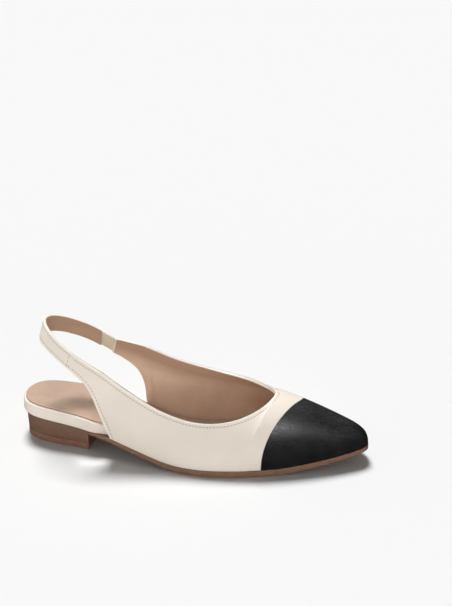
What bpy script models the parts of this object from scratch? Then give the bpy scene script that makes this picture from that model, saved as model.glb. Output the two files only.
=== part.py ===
"""Sling back flat, right shoe, unworn, standing on its sole.

+X points to the toe, +Y to the inner side of the foot, +Z up. The finished model's
origin is the middle of the heel's underside, on the floor. The tables here are in
millimetres, with x along the heel's centre line and zero near the back of the heel.
"""
import math
from collections import namedtuple

import bmesh
import bpy
import numpy as np

MM = 0.001

# driving dimensions
HEEL_BACK_X = -1.3          # back of the heel block
SOLE_LENGTH = 252.0         # toe tip of the outsole
TOE_TIP_Y = 6.5             # the toe tip leans to the inner side
BREAST_X = 53.0             # front face of the heel block
ORIGIN_X = 28.0             # the model's origin, ahead of the tables' zero
HEEL_TAPER = 1.1            # how far the block draws in from its top to the floor
TOP_LIFT = 4.9              # thickness of the heel's wearing piece
WALL = 2.2                  # leather and lining of the upper
CAP_THICKNESS = 0.9         # leather of the toe cap
STRAP_THICKNESS = 2.0       # folded leather of the back strap
ELASTIC_THICKNESS = 1.2
ELASTIC_MARGIN = 1.1        # the elastic is this much narrower at each edge
HEEL_OVERHANG = 1.9         # the footbed's edge stands out this far behind the heel
OVERHANG_END_X = 30.0       # and is flush with the heel's sides from here on
INSOLE_THICKNESS = 0.8
OPEN_INSOLE_INSET = 1.7     # edge of the footbed that shows round the insole at the open heel
CLOSED_INSOLE_INSET = 0.7   # the same inside the upper
FEATHER_INSET = 1.0         # outsole edge that shows outside the upper
TOE_INSET = 0.8             # how much less of it shows at the toe
TOE_INSET_X = 205.0         # from where it narrows
GAP = 0.3                   # clearance between pieces that touch

LATERAL = -1                # outer side of the foot, towards -Y
MEDIAL = 1                  # inner side of the foot, towards +Y

# outline of the sole: distance of each edge from the heel's centre line
OutlineRow = namedtuple("OutlineRow", "x lateral medial")
OUTLINE = [OutlineRow(*row) for row in [
    (0.8, 9.8, 9.8),
    (5.4, 16.2, 16.2),
    (13.2, 21.0, 21.0),
    (25.6, 24.3, 24.2),
    (40.0, 25.8, 25.4),
    (53.0, 27.7, 26.2),
    (67.0, 30.9, 25.8),
    (82.0, 35.4, 25.0),
    (97.0, 39.2, 24.8),
    (113.0, 42.9, 26.2),
    (129.0, 45.1, 29.2),
    (143.0, 45.5, 32.6),
    (158.0, 43.1, 35.9),
    (172.0, 39.4, 37.9),
    (186.0, 34.6, 38.2),
    (200.0, 29.0, 37.0),
    (213.0, 23.0, 34.4),
    (225.0, 16.9, 30.8),
    (235.0, 11.2, 26.8),
    (243.5, 5.2, 21.6),
    (249.5, -0.6, 14.8),
]]

# heights along the shoe: underside and thickness of the outsole, height of the footbed;
# the heel block rises through the outsole's thickness
ProfileRow = namedtuple("ProfileRow", "x underside outsole footbed")
PROFILE = [ProfileRow(*row) for row in [
    (0.0, 17.2, 2.2, 8.6),
    (28.0, 15.4, 2.2, 8.6),
    (53.0, 12.8, 2.3, 8.4),
    (68.0, 10.8, 2.7, 7.8),
    (82.0, 8.2, 3.3, 6.4),
    (98.0, 4.6, 3.6, 4.4),
    (113.0, 1.6, 3.8, 3.0),
    (130.0, 0.0, 4.2, 2.5),
    (186.0, 0.0, 4.6, 2.5),
    (202.0, 1.4, 4.3, 2.5),
    (220.0, 4.0, 4.0, 2.4),
    (252.0, 9.3, 3.6, 2.0),
]]

# side panels behind the floor line: topline point and rear edge point
WingRow = namedtuple("WingRow", "top_x top_out top_z edge_x edge_out edge_z")
LATERAL_WING = [WingRow(*row) for row in [
    (43.2, 26.0, 74.7, 41.0, 28.3, 62.7),
    (49.1, 27.5, 71.7, 50.8, 29.6, 55.4),
    (56.0, 28.6, 68.4, 57.6, 31.0, 46.3),
    (63.5, 29.7, 64.9, 64.2, 32.2, 30.4),
]]
MEDIAL_WING = [WingRow(*row) for row in [
    (59.7, 24.5, 67.0, 56.6, 25.2, 55.4),
    (66.0, 24.8, 66.0, 64.0, 26.2, 51.6),
    (73.0, 25.1, 64.6, 73.5, 27.0, 44.9),
    (80.0, 25.5, 63.0, 79.3, 26.9, 36.5),
    (85.5, 25.9, 60.9, 82.8, 25.9, 24.5),
]]

# side panels down to the sole: topline point, place on the sole, slope below level there
SideRow = namedtuple("SideRow", "top_x top_out top_z foot_x lean")
LATERAL_SIDE = [SideRow(*row) for row in [
    (71.0, 30.6, 60.6, 70.7, 86.0),
    (79.5, 31.6, 55.6, 80.0, 84.0),
    (89.9, 32.6, 50.1, 90.5, 80.0),
    (100.0, 33.3, 45.1, 101.0, 76.0),
    (110.5, 34.0, 41.0, 111.5, 72.0),
    (121.8, 34.4, 37.9, 122.5, 68.0),
    (133.0, 34.3, 36.0, 133.0, 64.0),
    (144.5, 33.0, 35.5, 142.5, 59.0),
    (154.0, 30.8, 36.3, 150.5, 53.0),
    (163.0, 27.4, 38.0, 157.6, 46.0),
    (171.5, 22.0, 40.8, 163.6, 38.0),
    (179.0, 14.0, 44.1, 168.4, 27.0),
    (183.0, 6.0, 46.6, 171.8, 14.0),
]]
MEDIAL_SIDE = [SideRow(*row) for row in [
    (91.0, 26.1, 58.9, 84.6, 87.0),
    (98.0, 26.6, 56.2, 93.5, 86.0),
    (106.0, 27.1, 53.7, 103.0, 85.0),
    (115.0, 28.0, 51.3, 113.0, 83.0),
    (124.0, 28.5, 49.5, 123.0, 79.0),
    (133.0, 28.6, 48.1, 132.5, 75.0),
    (142.0, 28.0, 47.1, 141.5, 69.0),
    (150.5, 26.6, 46.7, 148.8, 59.0),
    (159.0, 23.9, 46.6, 156.0, 48.0),
    (167.5, 19.6, 46.8, 162.6, 36.0),
    (175.5, 14.0, 47.1, 168.2, 24.0),
    (181.5, 8.0, 47.4, 172.4, 12.0),
]]

# closed vamp: point on its ridge, where each side meets the sole, and how many degrees
# towards the toe each side's section turns from straight sideways as it leaves the ridge
VampRow = namedtuple("VampRow", "ridge_x ridge_y ridge_z lateral_foot medial_foot "
                                "lateral_turn medial_turn")
VAMP = [VampRow(*row) for row in [
    (184.4, 2.0, 47.6, 174.4, 175.4, 2.0, 1.0),
    (189.6, 2.3, 46.4, 177.0, 178.9, -6.0, 6.0),
    (195.1, 2.6, 44.9, 179.5, 182.9, -13.0, 13.0),
    (200.9, 2.9, 43.1, 182.2, 188.0, -19.0, 19.0),
    (207.0, 3.3, 40.9, 187.6, 193.8, -15.0, 18.0),
    (213.2, 3.6, 38.5, 195.8, 200.6, -8.0, 15.0),
    (219.0, 4.0, 36.1, 206.0, 208.6, 2.0, 14.0),
    (224.0, 4.4, 34.1, 216.6, 217.4, 13.0, 18.0),
    (228.0, 4.8, 32.5, 226.5, 226.5, 27.0, 28.0),
    (231.3, 5.1, 31.3, 235.0, 235.0, 44.0, 44.0),
    (233.8, 5.3, 30.4, 242.5, 242.5, 62.0, 62.0),
    (235.4, 5.5, 29.8, 248.0, 248.0, 78.0, 78.0),
    (236.0, 5.6, 29.6, SOLE_LENGTH, SOLE_LENGTH, 90.0, 90.0),
]]
CAP_ROW = 3                 # row of the vamp where the toe cap begins
FULLNESS = (0.36, 0.42)     # reach of a closed section's curve at its top and its foot
WALL_FULLNESS = (0.31, 0.33)    # the same where the side is a steep open wall
WING_BULGE = 0.6            # outward curve of the side panels' rear ends
FOOT_FLARE = 0.05           # outward slope of the wall above the sole

# back strap round the heel, from the outer seam to the elastic: upper and lower edge
StrapRow = namedtuple("StrapRow", "top_x top_y top_z low_x low_y low_z")
BACK_STRAP = [StrapRow(*row) for row in [
    (39.6, -25.0, 76.7, 36.2, -27.4, 65.6),
    (33.5, -22.8, 79.9, 29.5, -25.2, 69.6),
    (27.5, -19.6, 82.9, 22.8, -21.6, 72.9),
    (21.5, -15.0, 86.2, 16.4, -16.0, 75.2),
    (16.4, -8.8, 88.5, 12.2, -8.8, 76.4),
    (13.6, -1.0, 89.0, 10.7, -0.6, 76.3),
    (14.4, 6.8, 87.9, 12.2, 7.4, 75.1),
    (18.6, 13.6, 85.6, 17.2, 14.4, 73.0),
    (25.0, 18.2, 82.9, 24.2, 19.2, 70.4),
    (33.0, 20.8, 80.1, 32.8, 22.0, 67.4),
    (42.0, 22.6, 76.3, 41.4, 23.7, 63.8),
    (49.3, 23.7, 72.5, 48.2, 24.7, 60.1),
]]

OUTLINE_STEPS = 12          # points of the sole's outline between two corners
SECTION_STEPS = 9           # facets from the top of a section to the sole
STRAP_STEPS = 2             # rows of facets between two rows of the back strap
ELASTIC_STEPS = 4           # rows of facets along the elastic
SOLE_STEPS = 34             # rows of facets along a sole piece
HEEL_STEPS = 14             # and along the heel block
STEP_LENGTH = 0.02          # share of a row over which the wall steps in at the cap
CAP_START = 0.07            # share of a row left open behind the cap's edge
FOOTBED_STEP = {LATERAL: (57.5, 66.0), MEDIAL: (73.5, 80.5)}    # x where it draws in
SHARP_ANGLE = 35.0          # degrees between faces from which an edge looks sharp
MERGE_DISTANCE = 0.002


def clear_scene():
    for item in list(bpy.data.objects):
        bpy.data.objects.remove(item, do_unlink=True)


def along(rows, name, x):
    """Smooth value of a table's column at x, with no overshoot between rows."""
    xs = np.array([row.x for row in rows])
    ys = np.array([getattr(row, name) for row in rows])
    steps = np.diff(xs)
    slopes = np.diff(ys) / steps
    tangents = np.zeros(len(xs))
    tangents[0] = slopes[0]
    tangents[-1] = slopes[-1]
    for i in range(1, len(xs) - 1):
        if slopes[i - 1] * slopes[i] > 0:
            before = 2 * steps[i] + steps[i - 1]
            after = steps[i] + 2 * steps[i - 1]
            tangents[i] = (before + after) / (before / slopes[i - 1] + after / slopes[i])
    i = int(np.clip(np.searchsorted(xs, x) - 1, 0, len(xs) - 2))
    t = (min(max(x, xs[0]), xs[-1]) - xs[i]) / steps[i]
    return ((1 + 2 * t) * (1 - t) ** 2 * ys[i] + t * (1 - t) ** 2 * steps[i] * tangents[i]
            + t * t * (3 - 2 * t) * ys[i + 1] + t * t * (t - 1) * steps[i] * tangents[i + 1])


STATIONS = [SOLE_LENGTH * (1 - math.cos(math.pi * i / SOLE_STEPS)) / 2
            for i in range(SOLE_STEPS + 1)]


def faceted(name):
    """A column of the profile, straight between the stations of the sole's facets."""
    heights = [along(PROFILE, name, x) for x in STATIONS]
    return lambda x: float(np.interp(x, STATIONS, heights))


underside = faceted("underside")
outsole_height = faceted("outsole")
footbed_height = faceted("footbed")


def outsole_top(x):
    return underside(x) + outsole_height(x)


def footbed_top(x):
    return outsole_top(x) + GAP + footbed_height(x)


def through(points, place):
    """Point of a smooth curve through a list of points, at a fractional index."""
    points = np.asarray(points, float)
    i = int(min(max(math.floor(place), 0), len(points) - 2))
    t = place - i
    p1 = points[i]
    p2 = points[i + 1]
    p0 = points[i - 1] if i > 0 else 2 * p1 - p2
    p3 = points[i + 2] if i + 2 < len(points) else 2 * p2 - p1
    return 0.5 * (2 * p1 + (p2 - p0) * t + (2 * p0 - 5 * p1 + 4 * p2 - p3) * t * t
                  + (3 * p1 - p0 - 3 * p2 + p3) * t ** 3)


def outline_loop():
    """Closed outline of the sole, from the heel back along the outer side."""
    outer = [(row.x, LATERAL * row.lateral) for row in OUTLINE]
    inner = [(row.x, MEDIAL * row.medial) for row in OUTLINE]
    corners = [(HEEL_BACK_X, 0.0)] + outer + [(SOLE_LENGTH, TOE_TIP_Y)] + inner[::-1]
    ringed = corners[-2:] + corners + corners[:3]
    places = [i / OUTLINE_STEPS for i in range(len(corners) * OUTLINE_STEPS)]
    return np.array([through(ringed, 2 + place) for place in places])


LOOP = outline_loop()


def edges_of(inset):
    """Outer and inner edge of the sole's outline, drawn in by inset(x, side)."""
    ahead = np.roll(LOOP, -1, axis=0) - np.roll(LOOP, 1, axis=0)
    inward = np.stack([-ahead[:, 1], ahead[:, 0]], axis=1)
    inward /= np.linalg.norm(inward, axis=1)[:, None]
    half = int(np.argmax(LOOP[:, 0]))
    sides = np.where(np.arange(len(LOOP)) <= half, LATERAL, MEDIAL)
    depth = np.array([inset(x, side) for (x, y), side in zip(LOOP, sides)])
    drawn = LOOP + inward * depth[:, None]
    tip = int(np.argmax(drawn[:, 0]))
    back = int(np.argmin(drawn[:, 0]))
    drawn = np.roll(drawn, -back, axis=0)
    tip = (tip - back) % len(drawn)
    outer = drawn[:tip + 1]
    inner = np.vstack([drawn[tip:], drawn[:1]])[::-1]
    return outer, inner


def edge_y(edge, x):
    return float(np.interp(x, edge[:, 0], edge[:, 1]))


UPPER_EDGES = edges_of(lambda x, side: FEATHER_INSET)


def foot_point(side, x):
    """Where the outside of the upper meets the sole."""
    edge = UPPER_EDGES[0 if side == LATERAL else 1]
    x = min(x, edge[-1, 0])
    return np.array([x, edge_y(edge, x), outsole_top(x) + GAP])


def fullness(lean):
    """Reach of a section's curve at both ends, from a closed vamp to a steep wall."""
    share = math.cos(math.radians(lean)) ** 6
    return [wall + (full - wall) * share for full, wall in zip(FULLNESS, WALL_FULLNESS)]


def ribbon_section(top, edge, side):
    """Section across a side panel's free rear end: its two ends and how it leaves them."""
    at_top, at_edge = WALL_FULLNESS
    out = np.array([0.0, side * WING_BULGE, 0.0])
    run = edge - top
    return {"top": top, "leave": run * at_top + out, "rise": out - run * at_edge, "foot": edge}


def lasted_section(top, foot, away, leave, lean):
    """Section from a top point to the sole: away points outwards, level."""
    at_top, at_foot = fullness(lean)
    rise = (np.array([0.0, 0.0, 1.0]) + away * FOOT_FLARE) * np.linalg.norm(foot - top)
    return {"top": top, "leave": leave * at_top, "rise": rise * at_foot, "foot": foot}


def section_rows(side):
    """Every section of one side, from its rear end to the toe."""
    wing = LATERAL_WING if side == LATERAL else MEDIAL_WING
    flank = LATERAL_SIDE if side == LATERAL else MEDIAL_SIDE
    sideways = np.array([0.0, side, 0.0])
    rows = []
    for row in wing:
        top = np.array([row.top_x, side * row.top_out, row.top_z])
        edge = np.array([row.edge_x, side * row.edge_out, row.edge_z])
        rows.append(ribbon_section(top, edge, side))
    for row in flank:
        top = np.array([row.top_x, side * row.top_out, row.top_z])
        foot = foot_point(side, row.foot_x)
        reach = np.linalg.norm(foot - top)
        tilt = math.radians(row.lean)
        leave = sideways * math.cos(tilt) * reach
        leave += np.array([foot[0] - top[0], 0.0, -reach]) * math.sin(tilt)
        rows.append(lasted_section(top, foot, sideways, leave, row.lean))
    slopes = np.gradient([row.ridge_z for row in VAMP], [row.ridge_x for row in VAMP])
    for row, slope in zip(VAMP, slopes):
        top = np.array([row.ridge_x, row.ridge_y, row.ridge_z])
        foot_x = row.lateral_foot if side == LATERAL else row.medial_foot
        foot = foot_point(LATERAL if foot_x == SOLE_LENGTH else side, foot_x)
        away = (foot - top) * (1.0, 1.0, 0.0)
        away /= np.linalg.norm(away)
        turned = math.radians(row.lateral_turn if side == LATERAL else row.medial_turn)
        leave = np.array([math.sin(turned), side * math.cos(turned), 0.0])
        leave *= np.linalg.norm(foot - top)
        leave[2] = slope * leave[0]
        rows.append(lasted_section(top, foot, away, leave, 0.0))
    return rows


THROAT_ROW = len(LATERAL_WING) + len(LATERAL_SIDE)


def top_point(rows, other_rows, place):
    """Point on the topline, which turns across the throat, or on the vamp's ridge."""
    tops = [row["top"] for row in rows]
    if place <= THROAT_ROW:
        return through(tops[:THROAT_ROW + 1] + [other_rows[THROAT_ROW - 1]["top"]], place)
    return through(tops[THROAT_ROW:], place - THROAT_ROW)


def lower_point(rows, side, place):
    """Point on the free rear edge of a side, or on the sole ahead of it."""
    lasted = len(LATERAL_WING if side == LATERAL else MEDIAL_WING)
    feet = [row["foot"] for row in rows]
    if place <= lasted:
        return through(feet[:lasted + 1], place)
    foot = through(feet[lasted:], place - lasted)
    return foot_point(side, foot[0])


def bezier(points, t):
    a, b, c, d = points
    return (1 - t) ** 3 * a + 3 * t * (1 - t) ** 2 * b + 3 * t * t * (1 - t) * c + t ** 3 * d


def skin(places, side):
    """Outer surface of one side: a row of points for each place along its sections."""
    rows = section_rows(side)
    other_rows = section_rows(-side)
    table = []
    for place in places:
        top = top_point(rows, other_rows, place)
        foot = lower_point(rows, side, place)
        leave = through([row["leave"] for row in rows], place)
        rise = through([row["rise"] for row in rows], place)
        controls = (top, top + leave, foot + rise, foot)
        table.append([bezier(controls, j / SECTION_STEPS) for j in range(SECTION_STEPS + 1)])
    return table


def material(name, colour, roughness):
    made = bpy.data.materials.new(name)
    made.use_nodes = True
    shader = made.node_tree.nodes["Principled BSDF"]
    shader.inputs["Base Color"].default_value = (*colour, 1.0)
    shader.inputs["Roughness"].default_value = roughness
    return made


def place_object(name, bm, finish):
    """Mesh object in metres from the model's origin, smooth between its sharp edges."""
    bmesh.ops.translate(bm, vec=(-ORIGIN_X, 0.0, 0.0), verts=bm.verts)
    bmesh.ops.scale(bm, vec=(MM, MM, MM), verts=bm.verts)
    mesh = bpy.data.meshes.new(name)
    bm.to_mesh(mesh)
    bm.free()
    mesh.shade_smooth()
    mesh.set_sharp_from_angle(angle=math.radians(SHARP_ANGLE))
    mesh.materials.append(finish)
    piece = bpy.data.objects.new(name, mesh)
    bpy.context.scene.collection.objects.link(piece)
    return piece


def add_grid(bm, table, flip, depths=None):
    """Faces between the rows of a table of points; depths gives each row's two depths."""
    outer = bm.verts.layers.float.get("outer") or bm.verts.layers.float.new("outer")
    inner = bm.verts.layers.float.get("inner") or bm.verts.layers.float.new("inner")
    verts = []
    for i, row in enumerate(table):
        verts.append([bm.verts.new(point) for point in row])
        if depths:
            for vert in verts[-1]:
                vert[outer], vert[inner] = depths[i]
    for row, following in zip(verts, verts[1:]):
        for i in range(len(row) - 1):
            corners = [row[i], row[i + 1], following[i + 1], following[i]]
            bm.faces.new(corners[::-1] if flip else corners)


def thicken(bm):
    """Close a sheet into a wall whose two sides lie at their own depths below it."""
    bmesh.ops.remove_doubles(bm, verts=bm.verts, dist=MERGE_DISTANCE)
    bm.normal_update()
    outer = bm.verts.layers.float["outer"]
    inner = bm.verts.layers.float["inner"]
    faces = list(bm.faces)
    rims = [(edge, edge.link_faces[0]) for edge in bm.edges if edge.is_boundary]
    lining = {}
    for vert in list(bm.verts):
        lining[vert] = bm.verts.new(vert.co - vert.normal * vert[inner])
        vert.co = vert.co - vert.normal * vert[outer]
    for face in faces:
        bm.faces.new([lining[vert] for vert in reversed(face.verts)])
    for edge, face in rims:
        a, b = edge.verts
        corners = list(face.verts)
        if corners[(corners.index(a) + 1) % len(corners)] is b:
            a, b = b, a
        bm.faces.new((a, b, lining[b], lining[a]))


def halves(first, last):
    return [first + i / 2 for i in range(int(round((last - first) * 2)) + 1)]


def make_upper(finish):
    """Vamp and quarters in one wall, stepped in where the toe cap lies on it."""
    cap_place = THROAT_ROW + CAP_ROW
    last = THROAT_ROW + len(VAMP) - 1
    step = CAP_THICKNESS + GAP
    bm = bmesh.new()
    for side in (LATERAL, MEDIAL):
        behind = halves(0, cap_place)
        ahead = [cap_place + STEP_LENGTH] + halves(cap_place + 0.5, last)
        depths = [(0.0, WALL)] * len(behind) + [(step, WALL)] * len(ahead)
        add_grid(bm, skin(behind + ahead, side), side == MEDIAL, depths)
    thicken(bm)
    return place_object("upper", bm, finish)


def make_toe_cap(finish):
    cap_place = THROAT_ROW + CAP_ROW
    last = THROAT_ROW + len(VAMP) - 1
    places = [cap_place + CAP_START] + halves(cap_place + 0.5, last)
    bm = bmesh.new()
    for side in (LATERAL, MEDIAL):
        depths = [(0.0, CAP_THICKNESS)] * len(places)
        add_grid(bm, skin(places, side), side == MEDIAL, depths)
    thicken(bm)
    return place_object("toe_cap", bm, finish)


def make_ribbon(name, rows, steps, thickness, finish):
    """Flat strip along rows of upper and lower edge points."""
    tops = [np.array(row[:3]) for row in rows]
    lows = [np.array(row[3:]) for row in rows]
    table = []
    for i in range((len(rows) - 1) * steps + 1):
        top = through(tops, i / steps)
        low = through(lows, i / steps)
        table.append([top, (top + low) / 2, low])
    bm = bmesh.new()
    add_grid(bm, table, True, [(0.0, thickness)] * len(table))
    thicken(bm)
    return place_object(name, bm, finish)


def wing_end(wing, side):
    """Upper and lower corner of a side panel's rear end, as one row of a strap."""
    end = wing[0]
    return np.array([end.top_x, side * end.top_out, end.top_z,
                     end.edge_x, side * end.edge_out, end.edge_z])


def moved_towards(row, other, distance):
    """A row of two points, both moved towards another row's points."""
    moved = []
    for a, b in ((row[:3], other[:3]), (row[3:], other[3:])):
        moved.extend(a + (b - a) / np.linalg.norm(b - a) * distance)
    return np.array(moved)


def make_back_strap(finish):
    rows = [np.array(row) for row in BACK_STRAP]
    start = moved_towards(wing_end(LATERAL_WING, LATERAL), rows[0], GAP)
    return make_ribbon("back_strap", [start] + rows, STRAP_STEPS, STRAP_THICKNESS, finish)


def make_elastic(finish):
    strap_end = np.array(BACK_STRAP[-1])
    panel_end = wing_end(MEDIAL_WING, MEDIAL)
    rows = []
    for i in range(ELASTIC_STEPS + 1):
        rows.append(strap_end + (panel_end - strap_end) * i / ELASTIC_STEPS)
    rows[0] = moved_towards(strap_end, panel_end, GAP)
    rows[-1] = moved_towards(panel_end, strap_end, GAP)
    inset = (WALL - ELASTIC_THICKNESS) / 2
    narrowed = []
    for row in rows:
        down = (row[3:] - row[:3]) / np.linalg.norm(row[3:] - row[:3])
        inward = np.array([0.0, -inset, 0.0])
        top = row[:3] + down * ELASTIC_MARGIN + inward
        low = row[3:] - down * ELASTIC_MARGIN + inward
        narrowed.append(np.concatenate([top, low]))
    return make_ribbon("elastic", narrowed, 1, ELASTIC_THICKNESS, finish)


def plate(inset, height, start_x=None, end_x=None):
    """Level-edged face of a sole piece: gives its outer and inner edge at a fraction.

    The rows lie closer together towards a round end than towards one cut at start_x or end_x.
    """
    outer, inner = edges_of(inset)
    start = outer[0, 0] if start_x is None else start_x
    end = outer[-1, 0] if end_x is None else end_x
    first = 0.0 if start_x is None else math.pi / 2
    last = math.pi if end_x is None else math.pi / 2

    def row(fraction):
        angle = first + (last - first) * fraction
        share = (math.cos(first) - math.cos(angle)) / (math.cos(first) - math.cos(last))
        x = start + (end - start) * share
        z = height(x)
        a = np.array([x, edge_y(outer, x), z])
        b = np.array([x, edge_y(inner, x), z])
        return [a, (a + b) / 2, b]

    return row


def make_slab(name, upper_face, lower_face, steps, finish):
    """Solid between two plates with the same outline order."""
    bm = bmesh.new()
    rings = []
    for i in range(steps + 1):
        ring = upper_face(i / steps) + lower_face(i / steps)[::-1]
        rings.append([bm.verts.new(point) for point in ring])
    for ring, following in zip(rings, rings[1:]):
        for i in range(len(ring)):
            j = (i + 1) % len(ring)
            bm.faces.new((ring[i], ring[j], following[j], following[i]))
    bm.faces.new(rings[0][::-1])
    bm.faces.new(rings[-1])
    bmesh.ops.remove_doubles(bm, verts=bm.verts, dist=MERGE_DISTANCE)
    bmesh.ops.dissolve_degenerate(bm, edges=bm.edges, dist=MERGE_DISTANCE)
    bmesh.ops.recalc_face_normals(bm, faces=bm.faces)
    return place_object(name, bm, finish)


def ease(x, begin, end):
    """Smooth share from 0 before begin to 1 past end."""
    share = min(max((x - begin) / (end - begin), 0.0), 1.0)
    return share * share * (3 - 2 * share)


def sole_inset(x, side):
    """The outsole draws in round the toe until it is nearly flush with the cap."""
    return TOE_INSET * ease(x, TOE_INSET_X, SOLE_LENGTH)


def taper_inset(x, side):
    return HEEL_TAPER


def footbed_inset(x, side):
    """The footbed stands out behind the heel and draws in where the upper wraps it."""
    flush = (HEEL_OVERHANG + GAP) * ease(x, HEEL_BACK_X, OVERHANG_END_X) - HEEL_OVERHANG
    return flush + (FEATHER_INSET + WALL + GAP) * ease(x, *FOOTBED_STEP[side])


def insole_inset(x, side):
    closed = ease(x, *FOOTBED_STEP[side])
    margin = OPEN_INSOLE_INSET + (CLOSED_INSOLE_INSET - OPEN_INSOLE_INSET) * closed
    return footbed_inset(x, side) + margin


def footbed_underside(x):
    return outsole_top(x) + GAP


def insole_underside(x):
    return footbed_top(x) + GAP


def insole_top(x):
    return insole_underside(x) + INSOLE_THICKNESS


def make_sole_pieces(sole_finish, lift_finish, leather, lining):
    outsole_end = BREAST_X + GAP
    make_slab("outsole", plate(sole_inset, outsole_top, start_x=outsole_end),
              plate(sole_inset, underside, start_x=outsole_end), SOLE_STEPS, sole_finish)
    make_slab("footbed", plate(footbed_inset, footbed_top),
              plate(footbed_inset, footbed_underside), SOLE_STEPS, leather)
    make_slab("insole", plate(insole_inset, insole_top),
              plate(insole_inset, insole_underside), SOLE_STEPS, lining)
    block_low = plate(taper_inset, lambda x: TOP_LIFT + GAP, end_x=BREAST_X)
    make_slab("heel_block", plate(sole_inset, outsole_top, end_x=BREAST_X), block_low,
              HEEL_STEPS, sole_finish)
    lift_top = plate(taper_inset, lambda x: TOP_LIFT, end_x=BREAST_X)
    lift_low = plate(taper_inset, lambda x: 0.0, end_x=BREAST_X)
    make_slab("top_lift", lift_top, lift_low, HEEL_STEPS, lift_finish)


def main():
    clear_scene()
    cream = material("cream_leather", (0.76, 0.69, 0.59), 0.42)
    black = material("black_leather", (0.012, 0.012, 0.013), 0.3)
    tan = material("insole_leather", (0.62, 0.45, 0.33), 0.55)
    brown = material("sole_brown", (0.2, 0.115, 0.07), 0.5)
    rubber = material("lift_rubber", (0.23, 0.135, 0.085), 0.65)
    beige = material("beige_elastic", (0.55, 0.44, 0.31), 0.85)
    make_sole_pieces(brown, rubber, cream, tan)
    make_upper(cream)
    make_toe_cap(black)
    make_back_strap(cream)
    make_elastic(beige)


main()
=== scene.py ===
import math
import bmesh
import bpy
import numpy as np
from mathutils import Matrix, Vector
from mathutils.bvhtree import BVHTree
from mathutils.kdtree import KDTree


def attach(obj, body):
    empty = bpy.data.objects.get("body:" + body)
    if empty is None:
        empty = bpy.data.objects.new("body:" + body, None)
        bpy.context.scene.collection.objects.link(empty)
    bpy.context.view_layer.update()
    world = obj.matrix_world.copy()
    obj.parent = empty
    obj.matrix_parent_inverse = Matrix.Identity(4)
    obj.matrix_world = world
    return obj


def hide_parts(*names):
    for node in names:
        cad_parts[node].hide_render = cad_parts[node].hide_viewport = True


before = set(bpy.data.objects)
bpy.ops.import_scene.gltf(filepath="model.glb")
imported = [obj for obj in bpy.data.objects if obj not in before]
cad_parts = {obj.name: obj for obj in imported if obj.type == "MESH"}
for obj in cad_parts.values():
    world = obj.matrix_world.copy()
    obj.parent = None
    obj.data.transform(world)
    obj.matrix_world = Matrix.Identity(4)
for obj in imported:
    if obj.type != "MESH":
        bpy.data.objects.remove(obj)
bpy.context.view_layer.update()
mm = 0.001
hardAngle = math.radians(40)        # an edge that bends more than this is a fold or a cut edge
print("frame loaded:", len(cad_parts), "nodes")


# small helpers for material nodes

def newMaterial(name):
    made = bpy.data.materials.new(name)
    made.use_nodes = True
    return made, made.node_tree, made.node_tree.nodes["Principled BSDF"]


def addNode(tree, kind, values=None, **settings):
    made = tree.nodes.new(kind)
    for key, value in settings.items():
        setattr(made, key, value)
    for key, value in (values or {}).items():
        if isinstance(value, bpy.types.NodeSocket):
            tree.links.new(value, made.inputs[key])
        else:
            made.inputs[key].default_value = value
    return made


def objectPoint(tree, stretch=(1, 1, 1)):
    where = addNode(tree, "ShaderNodeTexCoord").outputs["Object"]
    return addNode(tree, "ShaderNodeMapping", {"Vector": where, "Scale": stretch}).outputs[0]


def noiseAt(tree, where, size, detail=3, roughness=0.5):
    return addNode(tree, "ShaderNodeTexNoise", {
        "Vector": where, "Scale": 1 / size, "Detail": detail, "Roughness": roughness}).outputs["Fac"]


def cellsAt(tree, where, size, feature="F1"):
    return addNode(tree, "ShaderNodeTexVoronoi", {"Vector": where, "Scale": 1 / size},
                   feature=feature).outputs["Distance"]


def ramp(tree, value, low, high, toLow=0.0, toHigh=1.0, smooth=True):
    return addNode(tree, "ShaderNodeMapRange", {
        0: value, 1: low, 2: high, 3: toLow, 4: toHigh},
        interpolation_type="SMOOTHSTEP" if smooth else "LINEAR").outputs[0]


def combine(tree, operation, a, b):
    return addNode(tree, "ShaderNodeMath", {0: a, 1: b}, operation=operation).outputs[0]


def mixColour(tree, amount, a, b):
    return addNode(tree, "ShaderNodeMix", {0: amount, 6: a, 7: b}, data_type="RGBA").outputs[2]


def band(tree, value, middle, half):        # 1 at the middle, 0 from half a width away
    away = combine(tree, "ABSOLUTE", combine(tree, "SUBTRACT", value, middle), 0.0)
    return ramp(tree, away, 0.0, half, 1.0, 0.0)


def bump(tree, height, depth, strength=1.0, under=None):
    values = {"Height": height, "Distance": depth, "Strength": strength}
    if under is not None:
        values["Normal"] = under
    return addNode(tree, "ShaderNodeBump", values).outputs[0]


def attribute(tree, name):
    return addNode(tree, "ShaderNodeAttribute", attribute_name=name).outputs["Fac"]


def colour(red, green, blue):
    def linear(value):
        value /= 255
        return value / 12.92 if value <= 0.04045 else ((value + 0.055) / 1.055) ** 2.4
    return (linear(red), linear(green), linear(blue), 1.0)


# leathers, sole and thread

cream = {
    "colour": colour(231, 221, 208),
    "shade": colour(227, 216, 202),
    # painted highlight: lighter colour along the folded edges
    "fold": colour(240, 234, 221),
    "seam": colour(190, 178, 160),
    "roughness": 0.42,
    "specular": 0.42,
    "coat": (0.06, 0.35),   # weight and roughness
    "cloud": 30 * mm,       # size of the slow change of tone
    "pore": 0.55 * mm,
    "poreDepth": 0.035 * mm,
    "wave": 7 * mm,         # size of the surface's slight unevenness
    "waveDepth": 0.09 * mm,
    "foldHighlightWidth": 1.1,       # mm of painted highlight, a lighter colour along a folded edge
    "seamAt": 2.5,          # mm from the folded edge to the stitch line
    "seamHalf": 0.55,
    "seamDepth": 0.12 * mm,
    "seamShare": 0.2,       # how much of the seam's colour shows
}


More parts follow.
